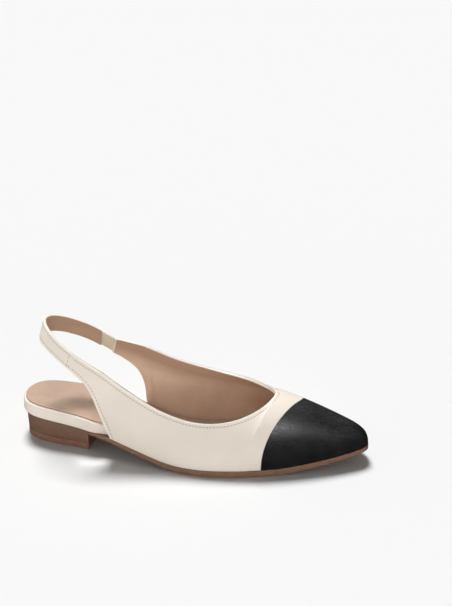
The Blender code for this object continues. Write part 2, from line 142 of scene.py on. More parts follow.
def creamLeather(name, seams=True):
    made, tree, shader = newMaterial(name)
    where = objectPoint(tree)
    cloud = ramp(tree, noiseAt(tree, where, cream["cloud"], 4), 0.3, 0.75)
    tone = mixColour(tree, cloud, cream["colour"], cream["shade"])
    pores = cellsAt(tree, where, cream["pore"])
    height = bump(tree, pores, cream["poreDepth"], 0.5)
    height = bump(tree, noiseAt(tree, where, cream["wave"], 2), cream["waveDepth"], 0.5, height)
    if seams:
        edge = attribute(tree, "edgeMm")
        # painted highlight: lighter colour near a folded edge
        fold = ramp(tree, edge, cream["foldHighlightWidth"] * 0.5, cream["foldHighlightWidth"], 1.0, 0.0)
        tone = mixColour(tree, fold, tone, cream["fold"])
        groove = band(tree, edge, cream["seamAt"], cream["seamHalf"])
        shown = combine(tree, "MULTIPLY", groove, cream["seamShare"])
        tone = mixColour(tree, shown, tone, cream["seam"])
        height = bump(tree, combine(tree, "SUBTRACT", 1.0, groove), cream["seamDepth"], 1.0, height)
    rough = ramp(tree, pores, 0.0, 1.0, cream["roughness"] - 0.05, cream["roughness"] + 0.07)
    tree.links.new(tone, shader.inputs["Base Color"])
    tree.links.new(rough, shader.inputs["Roughness"])
    tree.links.new(height, shader.inputs["Normal"])
    shader.inputs["Specular IOR Level"].default_value = cream["specular"]
    shader.inputs["Coat Weight"].default_value = cream["coat"][0]
    shader.inputs["Coat Roughness"].default_value = cream["coat"][1]
    return made


lining = {
    "colour": colour(232, 204, 180),
    "shade": colour(220, 191, 166),
    "speck": colour(243, 222, 203),
    "toplineShade": colour(178, 145, 120),      # painted shade: the lining darker towards the topline
    "toplineShadeAt": (4.0, 20.0),      # mm from the topline
    "roughness": 0.55,
    "specular": 0.35,
    "cloud": 16 * mm,
    "speckSize": 0.9 * mm,
    "speckShare": 0.4,
    "pore": 0.7 * mm,
    "poreDepth": 0.06 * mm,
    "wave": 9 * mm,
    "waveDepth": 0.5 * mm,
    "turned": (5.5, 8.5),       # mm from a fold where the turned allowance ends behind the lining
    "turnedDepth": 0.45 * mm,
    "binding": (2.3, 2.6),      # mm from the inner wing's end where the turned cream leather stops
    "bindingDepth": 0.4 * mm,
}


def liningLeather():
    made, tree, shader = newMaterial("tan lining")
    where = objectPoint(tree)
    cloud = ramp(tree, noiseAt(tree, where, lining["cloud"], 5, 0.6), 0.3, 0.7)
    tone = mixColour(tree, cloud, lining["colour"], lining["shade"])
    flecks = noiseAt(tree, objectPoint(tree, (1, 1, 2.2)), lining["speckSize"], 2)
    shown = combine(tree, "MULTIPLY", ramp(tree, flecks, 0.58, 0.75), lining["speckShare"])
    tone = mixColour(tree, shown, tone, lining["speck"])
    # painted shade: the lining's colour darkens towards the topline
    toplineShade = ramp(tree, attribute(tree, "toplineMm"), *lining["toplineShadeAt"], 1.0, 0.0)
    tone = mixColour(tree, toplineShade, tone, lining["toplineShade"])
    turned = ramp(tree, attribute(tree, "edgeMm"), *lining["turned"], 1.0, 0.0)
    height = bump(tree, cellsAt(tree, where, lining["pore"]), lining["poreDepth"], 0.7)
    height = bump(tree, noiseAt(tree, where, lining["wave"], 3), lining["waveDepth"], 0.5, height)
    height = bump(tree, turned, lining["turnedDepth"], 1.0, height)
    binding = ramp(tree, attribute(tree, "turnedMm"), *lining["binding"], 1.0, 0.0)
    tone = mixColour(tree, binding, tone, cream["colour"])
    height = bump(tree, binding, lining["bindingDepth"], 1.0, height)
    tree.links.new(tone, shader.inputs["Base Color"])
    tree.links.new(height, shader.inputs["Normal"])
    shader.inputs["Roughness"].default_value = lining["roughness"]
    shader.inputs["Specular IOR Level"].default_value = lining["specular"]
    return made


sock = {
    "colour": colour(184, 155, 134),
    "shade": colour(174, 145, 124),
    "speck": colour(199, 173, 153),
    "roughness": 0.5,
    "specular": 0.4,
    "cloud": 18 * mm,
    "speckSize": 0.8 * mm,
    "speckShare": 0.35,
    "pore": 0.6 * mm,
    "poreDepth": 0.04 * mm,
    "wave": 8 * mm,
    "waveDepth": 0.25 * mm,
}


def sockLeather():
    made, tree, shader = newMaterial("sock leather")
    where = objectPoint(tree)
    cloud = ramp(tree, noiseAt(tree, where, sock["cloud"], 5, 0.6), 0.3, 0.7)
    tone = mixColour(tree, cloud, sock["colour"], sock["shade"])
    flecks = ramp(tree, noiseAt(tree, where, sock["speckSize"], 2), 0.6, 0.75)
    shown = combine(tree, "MULTIPLY", flecks, sock["speckShare"])
    tone = mixColour(tree, shown, tone, sock["speck"])
    height = bump(tree, cellsAt(tree, where, sock["pore"]), sock["poreDepth"], 0.6)
    height = bump(tree, noiseAt(tree, where, sock["wave"], 3), sock["waveDepth"], 0.5, height)
    tree.links.new(tone, shader.inputs["Base Color"])
    tree.links.new(height, shader.inputs["Normal"])
    shader.inputs["Roughness"].default_value = sock["roughness"]
    shader.inputs["Specular IOR Level"].default_value = sock["specular"]
    return made


black = {
    "colour": colour(22, 22, 22),
    "shade": colour(15, 15, 15),
    "roughness": 0.4,
    "specular": 0.5,
    "cloud": 9 * mm,
    "grain": 0.6 * mm,
    "grainDepth": 0.05 * mm,
    "wrinkle": 2.0 * mm,
    "wrinkleDepth": 0.14 * mm,
    "sheen": 1.4 * mm,      # size of the patches that are glossier than others
}


def blackLeather():
    made, tree, shader = newMaterial("black leather")
    where = objectPoint(tree)
    cloud = ramp(tree, noiseAt(tree, where, black["cloud"], 4), 0.35, 0.7)
    tone = mixColour(tree, cloud, black["colour"], black["shade"])
    height = bump(tree, cellsAt(tree, where, black["grain"]), black["grainDepth"], 0.5)
    height = bump(tree, noiseAt(tree, where, black["wrinkle"], 3), black["wrinkleDepth"], 0.5, height)
    rough = ramp(tree, noiseAt(tree, where, black["sheen"], 3), 0.3, 0.7,
                 black["roughness"] - 0.08, black["roughness"] + 0.1)
    tree.links.new(tone, shader.inputs["Base Color"])
    tree.links.new(rough, shader.inputs["Roughness"])
    tree.links.new(height, shader.inputs["Normal"])
    shader.inputs["Specular IOR Level"].default_value = black["specular"]
    return made


def seamShadow():       # the upper's outer side where the cap covers it, painted dark as the shade in the gap at the cap's edge
    made, tree, shader = newMaterial("seam shadow")
    where = objectPoint(tree)
    # painted shade: dark brown tones for the gap between cap and upper
    tone = mixColour(tree, noiseAt(tree, where, 2 * mm), colour(38, 34, 31), colour(60, 54, 48))
    tree.links.new(tone, shader.inputs["Base Color"])
    shader.inputs["Roughness"].default_value = 0.8
    return made


web = {
    "colour": colour(222, 208, 184),
    "shade": colour(200, 186, 162),
    "edge": 0.3 * mm,
    "rib": 0.75 * mm,
    "ribDepth": 0.12 * mm,
    "fuzz": 0.4 * mm,
    "fuzzDepth": 0.05 * mm,
}


def elasticWeb():
    made, tree, shader = newMaterial("elastic web")
    where = objectPoint(tree)
    ribs = addNode(tree, "ShaderNodeTexWave", {
        "Vector": where, "Scale": 1 / web["rib"] / math.tau * 2, "Distortion": 0.3, "Detail": 1.0},
        wave_type="BANDS", bands_direction="Z").outputs["Fac"]
    tone = mixColour(tree, ribs, web["shade"], web["colour"])
    height = bump(tree, ribs, web["ribDepth"], 0.8)
    height = bump(tree, noiseAt(tree, where, web["fuzz"]), web["fuzzDepth"], 0.5, height)
    tree.links.new(tone, shader.inputs["Base Color"])
    tree.links.new(height, shader.inputs["Normal"])
    shader.inputs["Roughness"].default_value = 0.75
    shader.inputs["Sheen Weight"].default_value = 0.2
    return made


thread = {
    "colour": colour(158, 150, 134),
    "shade": colour(180, 172, 156),
    "length": 1.6 * mm,
    "width": 0.55 * mm,
    "height": 0.36 * mm,
    "pitch": 2.4 * mm,
    "slant": 0.12,
    "lift": 0.12,       # share of its height by which a stitch's middle stands off the leather
}


def threadFinish():
    made, tree, shader = newMaterial("thread")
    where = objectPoint(tree)
    tone = mixColour(tree, noiseAt(tree, where, 1.2 * mm), thread["colour"], thread["shade"])
    height = bump(tree, noiseAt(tree, where, 0.2 * mm), 0.04 * mm, 0.6)
    tree.links.new(tone, shader.inputs["Base Color"])
    tree.links.new(height, shader.inputs["Normal"])
    shader.inputs["Roughness"].default_value = 0.55
    return made


brown = {
    "streakDepth": 0.12 * mm,
    "cloud": 12 * mm,
    "cloudShare": 0.35,
    "specular": 0.45,
    "under": (-0.97, -0.9),     # the tread fades out where the surface turns up into the wall
    "ribs": 160.0,
    "ribDepth": 0.35 * mm,
}
brownTones = {      # pale and dark tone, roughness, size of the streaks, ribbed underside
    "sole edge": (colour(142, 106, 84), colour(120, 86, 66), 0.45, 5 * mm, True),
    "heel cover": (colour(126, 96, 78), colour(112, 83, 66), 0.38, 6 * mm, False),
    "lift rubber": (colour(138, 101, 80), colour(118, 84, 64), 0.5, 4 * mm, True),
}


def brownFinish(name):
    made, tree, shader = newMaterial(name)
    pale, dark, roughness, streak, tread = brownTones[name]
    lines = noiseAt(tree, objectPoint(tree, (1, 1, 14)), streak, 4, 0.6)
    cloud = ramp(tree, noiseAt(tree, objectPoint(tree), brown["cloud"], 3), 0.45, 0.75)
    tone = mixColour(tree, ramp(tree, lines, 0.3, 0.72), pale, dark)
    tone = mixColour(tree, combine(tree, "MULTIPLY", cloud, brown["cloudShare"]), tone, dark)
    height = bump(tree, lines, brown["streakDepth"], 0.35)
    if tread:       # fine ribs across the underside
        facing = addNode(tree, "ShaderNodeNewGeometry").outputs["Normal"]
        down = addNode(tree, "ShaderNodeSeparateXYZ", {0: facing}).outputs["Z"]
        under = ramp(tree, down, *brown["under"], 1.0, 0.0)
        ribs = addNode(tree, "ShaderNodeTexWave", {
            "Vector": objectPoint(tree, (1, 0.35, 0)), "Scale": brown["ribs"], "Distortion": 1.2,
            "Detail": 1.0, "Detail Scale": 0.6}, wave_type="BANDS", bands_direction="X").outputs["Fac"]
        height = bump(tree, combine(tree, "MULTIPLY", ribs, under), brown["ribDepth"], 0.8, height)
    rough = ramp(tree, lines, 0.0, 1.0, roughness - 0.06, roughness + 0.08)
    tree.links.new(tone, shader.inputs["Base Color"])
    tree.links.new(rough, shader.inputs["Roughness"])
    tree.links.new(height, shader.inputs["Normal"])
    shader.inputs["Specular IOR Level"].default_value = brown["specular"]
    return made


finishes = {
    "cream": creamLeather("cream leather"),
    "rand": creamLeather("cream rand", seams=False),
    "tan": liningLeather(),
    "sock": sockLeather(),
    "black": blackLeather(),
    "seamShade": seamShadow(),
    "web": elasticWeb(),
    "thread": threadFinish(),
    "sole": brownFinish("sole edge"),
    "heel": brownFinish("heel cover"),
    "lift": brownFinish("lift rubber"),
}
print("finishes:", ", ".join(finishes))


# from a node's loose triangles to a smooth piece of the same form

quads = {
    "weld": 0.02 * mm,
    "skew": math.radians(120),      # how far a joined pair of triangles may be from a rectangle
}


def quadCopy(nodeName):
    bm = bmesh.new()
    bm.from_mesh(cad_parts[nodeName].data)
    bmesh.ops.remove_doubles(bm, verts=bm.verts, dist=quads["weld"])
    longest = {f: max(f.edges, key=lambda e: e.calc_length()) for f in bm.faces}
    diagonals = [e for e in bm.edges if e.calc_face_angle() < hardAngle
                 and all(longest[f] is e for f in e.link_faces)]
    bmesh.ops.dissolve_edges(bm, edges=diagonals, use_verts=False, use_face_split=False)
    rest = [f for f in bm.faces if len(f.verts) == 3]
    bmesh.ops.join_triangles(bm, faces=rest, angle_face_threshold=hardAngle,
                             angle_shape_threshold=quads["skew"], topology_influence=1.0)
    left = sum(len(f.verts) == 3 for f in bm.faces)
    print(" ", nodeName, "faces", len(bm.faces), "triangles left", left)
    return bm


def regions(bm):        # groups of faces between hard edges, the largest first
    waiting, found = set(bm.faces), []
    for start in bm.faces:
        if start not in waiting:
            continue
        waiting.discard(start)
        group, heap = [start], [start]
        while heap:
            for edge in heap.pop().edges:
                if edge.calc_face_angle(0) > hardAngle:
                    continue
                for near in edge.link_faces:
                    if near in waiting:
                        waiting.discard(near)
                        group.append(near)
                        heap.append(near)
        found.append(group)
    return sorted(found, key=lambda g: -sum(f.calc_area() for f in g))


def outwardness(group, middle):     # positive for faces that look away from the middle
    total = 0.0
    for face in group:
        centre = face.calc_center_median()
        total += face.calc_area() * face.normal.dot(centre - middle(centre))
    return total


def hardEdges(bm):
    return [e for e in bm.edges if e.calc_face_angle(0) > hardAngle]


def softenEdges(bm, width, steps=2, edges=None):
    bmesh.ops.bevel(bm, geom=edges or hardEdges(bm), offset=width, offset_type="OFFSET", segments=steps,
                    profile=0.5, affect="EDGES", material=-1, clamp_overlap=True)


def sameOrder(bm):      # the operators leave the order of points and faces to chance
    slope = Vector((1.0, 1.37, 1.91))
    bm.verts.sort(key=lambda v: v.co.dot(slope))
    bm.edges.sort(key=lambda e: (e.verts[0].co + e.verts[1].co).dot(slope))
    bm.faces.sort(key=lambda f: f.calc_center_median().dot(slope))


def evaluated(piece):
    graph = bpy.context.evaluated_depsgraph_get()
    return bpy.data.meshes.new_from_object(piece.evaluated_get(graph))


rounding = {
    "levels": 2,
    "passes": 2,
    "reach": 1.2 * mm,      # a corner that is farther off lies in a flat middle and may slide there
}


def smoothPiece(bm, name, materials):
    mesh = bpy.data.meshes.new(name)
    sameOrder(bm)
    bm.to_mesh(mesh)
    piece = bpy.data.objects.new(name, mesh)
    bpy.context.scene.collection.objects.link(piece)
    for finish in materials:
        mesh.materials.append(finishes[finish])
    modifier = piece.modifiers.new("rounding", "SUBSURF")
    modifier.levels = modifier.render_levels = rounding["levels"]
    count = len(mesh.vertices)
    wanted = np.empty(count * 3)
    mesh.vertices.foreach_get("co", wanted)
    cage = wanted.copy()
    for step in range(rounding["passes"]):      # the smooth surface goes through the solid's own corners
        bpy.context.view_layer.update()
        fine = evaluated(piece)
        got = np.empty(len(fine.vertices) * 3)
        fine.vertices.foreach_get("co", got)
        lack = (wanted - got[:count * 3]).reshape(-1, 3)
        lack[np.linalg.norm(lack, axis=1) > rounding["reach"]] = 0
        cage += lack.ravel()
        mesh.vertices.foreach_set("co", cage)
        mesh.update()
        bpy.data.meshes.remove(fine)
    bpy.context.view_layer.update()
    fine = evaluated(piece)
    piece.modifiers.clear()
    piece.data = fine
    bpy.data.meshes.remove(mesh)
    fine.name = name
    fine.shade_smooth()
    return piece


pieces = []


def settle(piece, node, slot):
    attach(piece, "root")
    if node:
        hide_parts(node)
    pieces.append(piece)
    print("piece", piece.name, len(piece.data.polygons), "faces")
    return piece


# the folded edge of a sheet: its ordered points with the way into the sheet

def ordered(edges):     # the points of a chain of edges, one after another
    nextTo = {}
    for edge in dict.fromkeys(edges):       # each edge once, in the same order every run
        for a, b in (edge.verts, reversed(edge.verts)):
            nextTo.setdefault(a, []).append(b)
    ends = [v for v, near in nextTo.items() if len(near) == 1]
    at = min(ends or list(nextTo), key=lambda v: (v.co.x, v.co.y))
    chain, seen = [at], {at}
    while True:
        ahead = [v for v in nextTo[at] if v not in seen]
        if not ahead:
            return chain
        at = ahead[0]
        seen.add(at)
        chain.append(at)


def foldedEdge(sheet, others):
    inside, beyond = set(sheet), set(others)
    rows = []
    for vert in ordered(e for f in sheet for e in f.edges
                        if any(n in beyond for n in e.link_faces)
                        and any(n in inside for n in e.link_faces)):
        own = [f for f in vert.link_faces if f in inside]
        normal = sum((f.normal for f in own), Vector()).normalized()
        inward = sum((f.calc_center_median() for f in own), Vector()) / len(own) - vert.co
        rows.append((vert.co.copy(), normal, inward))
    return rows


def spacing(points, count, margin=0.0):     # where evenly spaced places fall: index and share
    lengths = [0.0]
    for a, b in zip(points, points[1:]):
        lengths.append(lengths[-1] + (b - a).length)
    total = lengths[-1] - 2 * margin
    for step in range(count + 1):
        at = margin + total * step / count
        k = max(0, min(len(points) - 2, int(np.searchsorted(lengths, at)) - 1))
        yield k, (at - lengths[k]) / max(lengths[k + 1] - lengths[k], 1e-9)


def curvePoint(points, k, t, closed=False):     # smooth curve through the points
    a, b = points[k], points[k + 1]
    before = points[k - 1] if k > 0 else (points[-2] if closed else a)
    after = points[k + 2] if k + 2 < len(points) else (points[1] if closed else b)
    leave, reach = (b - before) * 0.5, (after - a) * 0.5
    t2, t3 = t * t, t ** 3
    return (a * (2 * t3 - 3 * t2 + 1) + leave * (t3 - 2 * t2 + t)
            + b * (3 * t2 - 2 * t3) + reach * (t3 - t2))


def alongCurve(points, count, closed=False):    # without the last point
    return [curvePoint(points, k, t, closed) for k, t in spacing(points, count)][:-1]


def evenly(rows, pitch, margin=0.0):        # rows of a folded edge at an even pitch
    points = [r[0] for r in rows]
    length = sum((b - a).length for a, b in zip(points, points[1:])) - 2 * margin
    made = []
    for k, t in spacing(points, max(2, round(length / pitch)), margin):
        normal = rows[k][1].lerp(rows[k + 1][1], t).normalized()
        made.append((curvePoint(points, k, t), normal, rows[k][2].lerp(rows[k + 1][2], t)))
    return made


def seamPath(rows, surface, inset, pitch, margin=0.0):      # on the leather, inset from its fold
    even = evenly(rows, pitch, margin)
    path = []
    for k, (place, normal, inward) in enumerate(even):
        ahead = (even[min(k + 1, len(even) - 1)][0] - even[max(k - 1, 0)][0]).normalized()
        across = (inward - ahead * inward.dot(ahead))
        across = (across - normal * across.dot(normal)).normalized()
        near, facing, _, _ = surface.find_nearest(place + across * inset)
        path.append((near, facing))
    return path


def stitchRow(bm, path):
    for k, (place, facing) in enumerate(path[:-1]):
        ahead = path[k + 1][0] - place
        middle = place.lerp(path[k + 1][0], 0.5)
        normal = facing.lerp(path[k + 1][1], 0.5).normalized()
        along = (ahead - normal * ahead.dot(normal)).normalized()
        along = (along + normal.cross(along) * thread["slant"]).normalized()
        turn = Matrix((along, normal.cross(along), normal)).transposed().to_4x4()
        size = Matrix.Diagonal((thread["length"], thread["width"], thread["height"], 1))
        spot = Matrix.Translation(middle + normal * thread["height"] * thread["lift"])
        bmesh.ops.create_uvsphere(bm, u_segments=6, v_segments=5, radius=0.5,
                                  matrix=spot @ turn @ size @ Matrix.Rotation(math.pi / 2, 4, "Y"))


def stitchPiece(name, paths):
    bm = bmesh.new()
    for path in paths:
        stitchRow(bm, path)
    mesh = bpy.data.meshes.new(name)
    sameOrder(bm)
    bm.to_mesh(mesh)
    bm.free()
    mesh.materials.append(finishes["thread"])
    mesh.shade_smooth()
    piece = bpy.data.objects.new(name, mesh)
    bpy.context.scene.collection.objects.link(piece)
    return settle(piece, None, "cream_leather")


def distanceTo(piece, points):      # from each vertex of the piece, in mm
    tree = KDTree(len(points))
    for k, point in enumerate(points):
        tree.insert(point, k)
    tree.balance()
    return np.array([tree.find(v.co)[2] / mm for v in piece.data.vertices])


measureStep = 0.5 * mm      # between the points of a folded edge that distances are taken from


def storeDistance(piece, name, chains):     # from the chains, as an attribute for the materials
    near = [point for rows in chains for point, _, _ in evenly(rows, measureStep)]
    values = distanceTo(piece, near)
    piece.data.attributes.new(name, "FLOAT", "POINT").data.foreach_set("value", values)
    return values


fairing = {
    "rounds": 130,
    "shares": (0.6, -0.612),    # inwards, then back out, so that nothing shrinks
    "from": 1,                  # mm from a fold where it begins
    "over": 4,                  # mm over which it grows to its full weight
}


def fairSurface(piece, distances):      # evens out the curvature away from the folds
    mesh = piece.data
    pairs = np.array([tuple(e.vertices) for e in mesh.edges])
    pairs = np.vstack([pairs, pairs[:, ::-1]])
    count = np.bincount(pairs[:, 0], minlength=len(mesh.vertices))[:, None]
    places = np.array([v.co for v in mesh.vertices])
    weights = np.clip((distances - fairing["from"]) / fairing["over"], 0, 1)
    for share in fairing["shares"] * fairing["rounds"]:
        total = np.zeros_like(places)
        np.add.at(total, pairs[:, 0], places[pairs[:, 1]])
        places += share * weights[:, None] * (total / count - places)
    mesh.vertices.foreach_set("co", places.ravel())
    mesh.update()


def surfaceOf(piece, index=0):      # the faces of one material, which stitches lie on
    mesh = piece.data
    faces = [tuple(p.vertices) for p in mesh.polygons if p.material_index == index]
    return BVHTree.FromPolygons([v.co for v in mesh.vertices], faces)


# upper: one leather shell, folded at the topline and round both wings

upper = {
    "fold": 0.75 * mm,
    "joint": 0.22 * mm,     # rounding where the outer wing meets the strap
    "strapJoint": Vector((14, -27, 69)) * mm,
    "seam": 2.5 * mm,
    "secondRow": 5.0 * mm,
    "margin": 0.6 * mm,     # where a row starts beside the strap's joint
    "feather": 9 * mm,      # the surface is left as it is below this height
    "wholeSide": 900 * mm * mm,     # a face group larger than this is a side, not an edge
    "topline": (90, 0, 52),     # rough middles of the folded edges, in mm
    "medialEnd": (30, 25, 61),
    "lateralBack": (29, -31, 42),
    "medialBack": (46, 26, 38),
}
creases = [     # soft troughs: start, end, way in, half width and depth, in mm
    ((41, 26, 57), (50, 28, 42), (0.2, -1, 0), 2.6, 0.42),
    ((48, 26, 58), (58, 28, 47), (0.1, -1, 0), 2.2, 0.3),
    ((36, 26, 51), (44, 28, 34), (0.3, -1, 0), 2.4, 0.3),
    ((52, -30, 34), (60, -31, 22), (0, 1, 0), 3.0, 0.15),
]


def pressCreases(piece):
    for start, end, way, half, depth in creases:
        start, end, way = Vector(start) * mm, Vector(end) * mm, Vector(way).normalized()
        run = end - start
        for vert in piece.data.vertices:
            share = (vert.co - start).dot(run) / run.length_squared
            if 0 < share < 1:
                away = (vert.co - start - run * share).length / (half * mm)
                vert.co += way * depth * mm * math.sin(math.pi * share) * math.exp(-away * away)


def shoeMiddle(point):
    return Vector((point.x, 0.0, 15 * mm))


def heelMiddle(point):
    return Vector((30 * mm, 0.0, point.z))


def middleOf(group):
    return sum((f.calc_center_median() for f in group), Vector()) / len(group)


def tightEnds(bm, ends, width):     # ends that butt against another piece keep a crisp corner
    edges = dict.fromkeys(e for g in ends for f in g for e in f.edges if e.calc_face_angle(0) > hardAngle)
    softenEdges(bm, width, 3, list(edges))


def makeUpper():
    bm = quadCopy("upper")
    parts = regions(bm)
    print("  regions of the upper:", [len(g) for g in parts])
    big = [g for g in parts if sum(f.calc_area() for f in g) > upper["wholeSide"]]
    joint = min((g for g in parts if g not in big),
                key=lambda g: (middleOf(g) - upper["strapJoint"]).length)
    outside = [g for g in big if outwardness(g, shoeMiddle) > 0]
    inside = [g for g in big if outwardness(g, shoeMiddle) <= 0]
    skin = min(outside, key=lambda g: min(f.calc_center_median().x for f in g))
    for group, finish in [(g, 2) for g in outside if g is not skin] + [(g, 1) for g in inside]:
        for face in group:
            face.material_index = finish
    chains = [foldedEdge(skin, g) for g in parts if g not in big and touches(skin, g)]
    tightEnds(bm, [joint], upper["joint"])
    softenEdges(bm, upper["fold"])
    piece = smoothPiece(bm, "upper_shell", ["cream", "tan", "seamShade"])
    bm.free()
    return piece, [rows for rows in chains if len(rows) > 5]


def touches(one, other):
    known = set(one)
    return any(n in known for f in other for e in f.edges for n in e.link_faces)


def chainNear(chains, place):
    place = Vector(place) * mm
    return min(chains, key=lambda rows: (sum((r[0] for r in rows), Vector()) / len(rows) - place).length)


upperShell, upperChains = makeUpper()
folds = ["topline", "medialEnd", "lateralBack", "medialBack"]
topline, medialEnd, lateralBack, medialBack = [chainNear(upperChains, upper[fold]) for fold in folds]
fromFolds = storeDistance(upperShell, "edgeMm", [topline, medialEnd, lateralBack, medialBack])
rim = [upperShell.data.vertices[k].co for p in upperShell.data.polygons
       if p.material_index == 2 or p.center.z < upper["feather"] for k in p.vertices]
fairSurface(upperShell, np.minimum(fromFolds, distanceTo(upperShell, rim)))
storeDistance(upperShell, "turnedMm", [medialEnd])
storeDistance(upperShell, "toplineMm", [topline])
pressCreases(upperShell)
settle(upperShell, "upper", "cream_leather")

upperSurface = surfaceOf(upperShell)
seam, pitch = upper["seam"], thread["pitch"]
stitchPiece("upper_stitches", [
    seamPath(topline, upperSurface, seam, pitch, seam),
    seamPath(lateralBack, upperSurface, seam, pitch, upper["margin"]),
    seamPath(medialBack, upperSurface, seam, pitch, seam),
    seamPath(medialEnd, upperSurface, seam, pitch, seam),
    seamPath(medialEnd, upperSurface, upper["secondRow"], pitch, seam),
])


# toe cap: black leather that lies in a step of the upper

cap = {
    "fold": 0.3 * mm,
}


def makeCap():
    bm = quadCopy("toe_cap")
    softenEdges(bm, cap["fold"])
    piece = smoothPiece(bm, "toe_cap_leather", ["black"])
    bm.free()
    return piece


settle(makeCap(), "toe_cap", "black_leather")


# back strap: cream outside, tan inside, folded along both edges

strap = {
    "fold": 0.7 * mm,
    "joint": 0.22 * mm,
    "seam": 2.1 * mm,
    "outerRow": 2.6 * mm,       # one row of stitches beside the outer wing
    "innerRows": (2.0 * mm, 4.4 * mm),      # two where the elastic is caught in
    "margin": 0.6 * mm,         # the long rows stop this far from the strap's ends
    "unturned": 99.0,           # mm: no binding on the strap's lining
}


def makeStrap():
    bm = quadCopy("back_strap")
    parts = regions(bm)
    skin = max(parts[:2], key=lambda g: outwardness(g, heelMiddle))
    for face in min(parts[:2], key=lambda g: outwardness(g, heelMiddle)):
        face.material_index = 1
    rims = sorted(parts[2:], key=len)       # two short ends, then two long edges
    chains = [foldedEdge(skin, g) for g in rims]
    tightEnds(bm, rims[:2], strap["joint"])
    softenEdges(bm, strap["fold"])
    piece = smoothPiece(bm, "strap_leather", ["cream", "tan"])
    bm.free()
    return piece, sorted(chains[:2], key=lambda rows: rows[0][0].y), chains[2:]


strapLeather, strapEnds, strapEdges = makeStrap()
storeDistance(strapLeather, "edgeMm", strapEdges)
storeDistance(strapLeather, "toplineMm", strapEdges)
turned = strapLeather.data.attributes.new("turnedMm", "FLOAT", "POINT")
turned.data.foreach_set("value", [strap["unturned"]] * len(strapLeather.data.vertices))
settle(strapLeather, "back_strap", "cream_leather")
strapSurface = surfaceOf(strapLeather)
strapRows = [(rows, strap["seam"], strap["margin"]) for rows in strapEdges]
strapRows += [(strapEnds[0], strap["outerRow"], strap["seam"])]
strapRows += [(strapEnds[1], inset, strap["seam"]) for inset in strap["innerRows"]]
stitchPiece("strap_stitches", [
    seamPath(rows, strapSurface, inset, pitch, margin) for rows, inset, margin in strapRows])


# elastic gore between the strap and the inner wing

def makeElastic():
    bm = quadCopy("elastic")
    softenEdges(bm, web["edge"])
    piece = smoothPiece(bm, "elastic_web", ["web"])
    bm.free()
    return piece


settle(makeElastic(), "elastic", "elastic")


# what lies under the foot: each slab has its node's outline, redrawn smooth, and rolled edges

slab = {
    "pitch": 1.8 * mm,      # between points of an outline
    "rows": 4.0 * mm,       # between cuts across a slab
    "ring": 1.2 * mm,       # flat ring inside a rolled edge
}
slabPieces = {      # node: (piece, finish, slot, roll of its upper edge, roll of its lower edge)
    "footbed": ("footbed_rand", "rand", "cream_leather", 1.5 * mm, 0.3 * mm),
    "insole": ("sock", "sock", "lining_leather", 0.35 * mm, 0.1 * mm),
    "outsole": ("outsole_board", "sole", "sole_brown", 0.5 * mm, 0.6 * mm),
    "heel_block": ("heel_cover", "heel", "sole_brown", 0.2 * mm, 0.25 * mm),
    "top_lift": ("top_lift_rubber", "lift", "lift_rubber", 0.25 * mm, 0.5 * mm),
}


def rimEdges(bm, up):      # hard edges between the wall and the upper or the lower face
    return [e for e in hardEdges(bm) if any(f.normal.z * up > 0.6 for f in e.link_faces)]


def smoothRing(points, counts):     # an outline redrawn as smooth curves between its corners
    if points[1].y > points[-1].y:      # every ring runs round the same way
        points = points[:1] + points[:0:-1]
    n = len(points)
    runs = [(points[k] - points[k - 1]).xy for k in range(n)]
    corners = [k for k in range(n) if runs[k].angle(runs[(k + 1) % n]) > hardAngle]
    first = corners[0] if corners else 0
    ring = points[first:] + points[:first + 1]
    stops = [(k - first) % n for k in corners] or [0]
    made = []
    for place, (a, b) in enumerate(zip(stops, stops[1:] + [n])):
        stretch = ring[a:b + 1]
        if len(counts) <= place:
            length = sum((q - p).length for p, q in zip(stretch, stretch[1:]))
            counts.append(max(2, round(length / slab["pitch"])))
        made += alongCurve(stretch, counts[place], closed=not corners)
    return made


def makeSlab(node, name, finish, upperRoll, lowerRoll):
    bm = quadCopy(node)
    counts = []
    rings = [smoothRing([v.co.copy() for v in ordered(rimEdges(bm, up))], counts) for up in (1, -1)]
    bm.clear()
    loops = []
    for ring in rings:
        verts = [bm.verts.new(point) for point in ring]
        loops.append([bm.edges.new(pair) for pair in zip(verts, verts[1:] + verts[:1])])
    bmesh.ops.bridge_loops(bm, edges=loops[0] + loops[1])
    for edges in loops:
        bmesh.ops.contextual_create(bm, geom=edges)
    bmesh.ops.recalc_face_normals(bm, faces=bm.faces)
    upright = [e for e in hardEdges(bm) if e not in rimEdges(bm, 1) + rimEdges(bm, -1)]
    if upright:     # one bevel for all edges, so that they meet cleanly at the corners
        softenEdges(bm, lowerRoll, 3)
    else:
        softenEdges(bm, upperRoll, 5, rimEdges(bm, 1))
        softenEdges(bm, lowerRoll, 3, rimEdges(bm, -1))
    for face in [f for f in bm.faces if abs(f.normal.z) > 0.9 and len(f.verts) > 8]:
        bmesh.ops.inset_region(bm, faces=[face], thickness=slab["ring"], use_even_offset=True)
    along = [v.co.x for v in bm.verts]
    low, high = min(along), max(along)
    for step in range(1, int((high - low) / slab["rows"])):
        bmesh.ops.bisect_plane(bm, geom=bm.verts[:] + bm.edges[:] + bm.faces[:],
                               plane_co=(low + step * slab["rows"], 0, 0), plane_no=(1, 0, 0))
    mesh = bpy.data.meshes.new(name)
    sameOrder(bm)
    bm.to_mesh(mesh)
    bm.free()
    mesh.materials.append(finishes[finish])
    mesh.shade_smooth()
    piece = bpy.data.objects.new(name, mesh)
    bpy.context.scene.collection.objects.link(piece)
    return piece


for node, (name, finish, slot, upperRoll, lowerRoll) in slabPieces.items():
    settle(makeSlab(node, name, finish, upperRoll, lowerRoll), node, slot)


# camera at the photograph's angle, pale floor and soft light

view = {
    "azimuth": 15,
    "elevation": 28,
    "distance": 1.4,
    "pixelsPerMetre": 1379,
    "anchor": Vector((0.098, 0, 0.012)),    # a point near the sole, seen at the pixel below
    "anchorPixel": (194.93, 429.33),
    "frame": (452, 606),
    "sensor": 36,
    "clip": (0.05, 30),
}


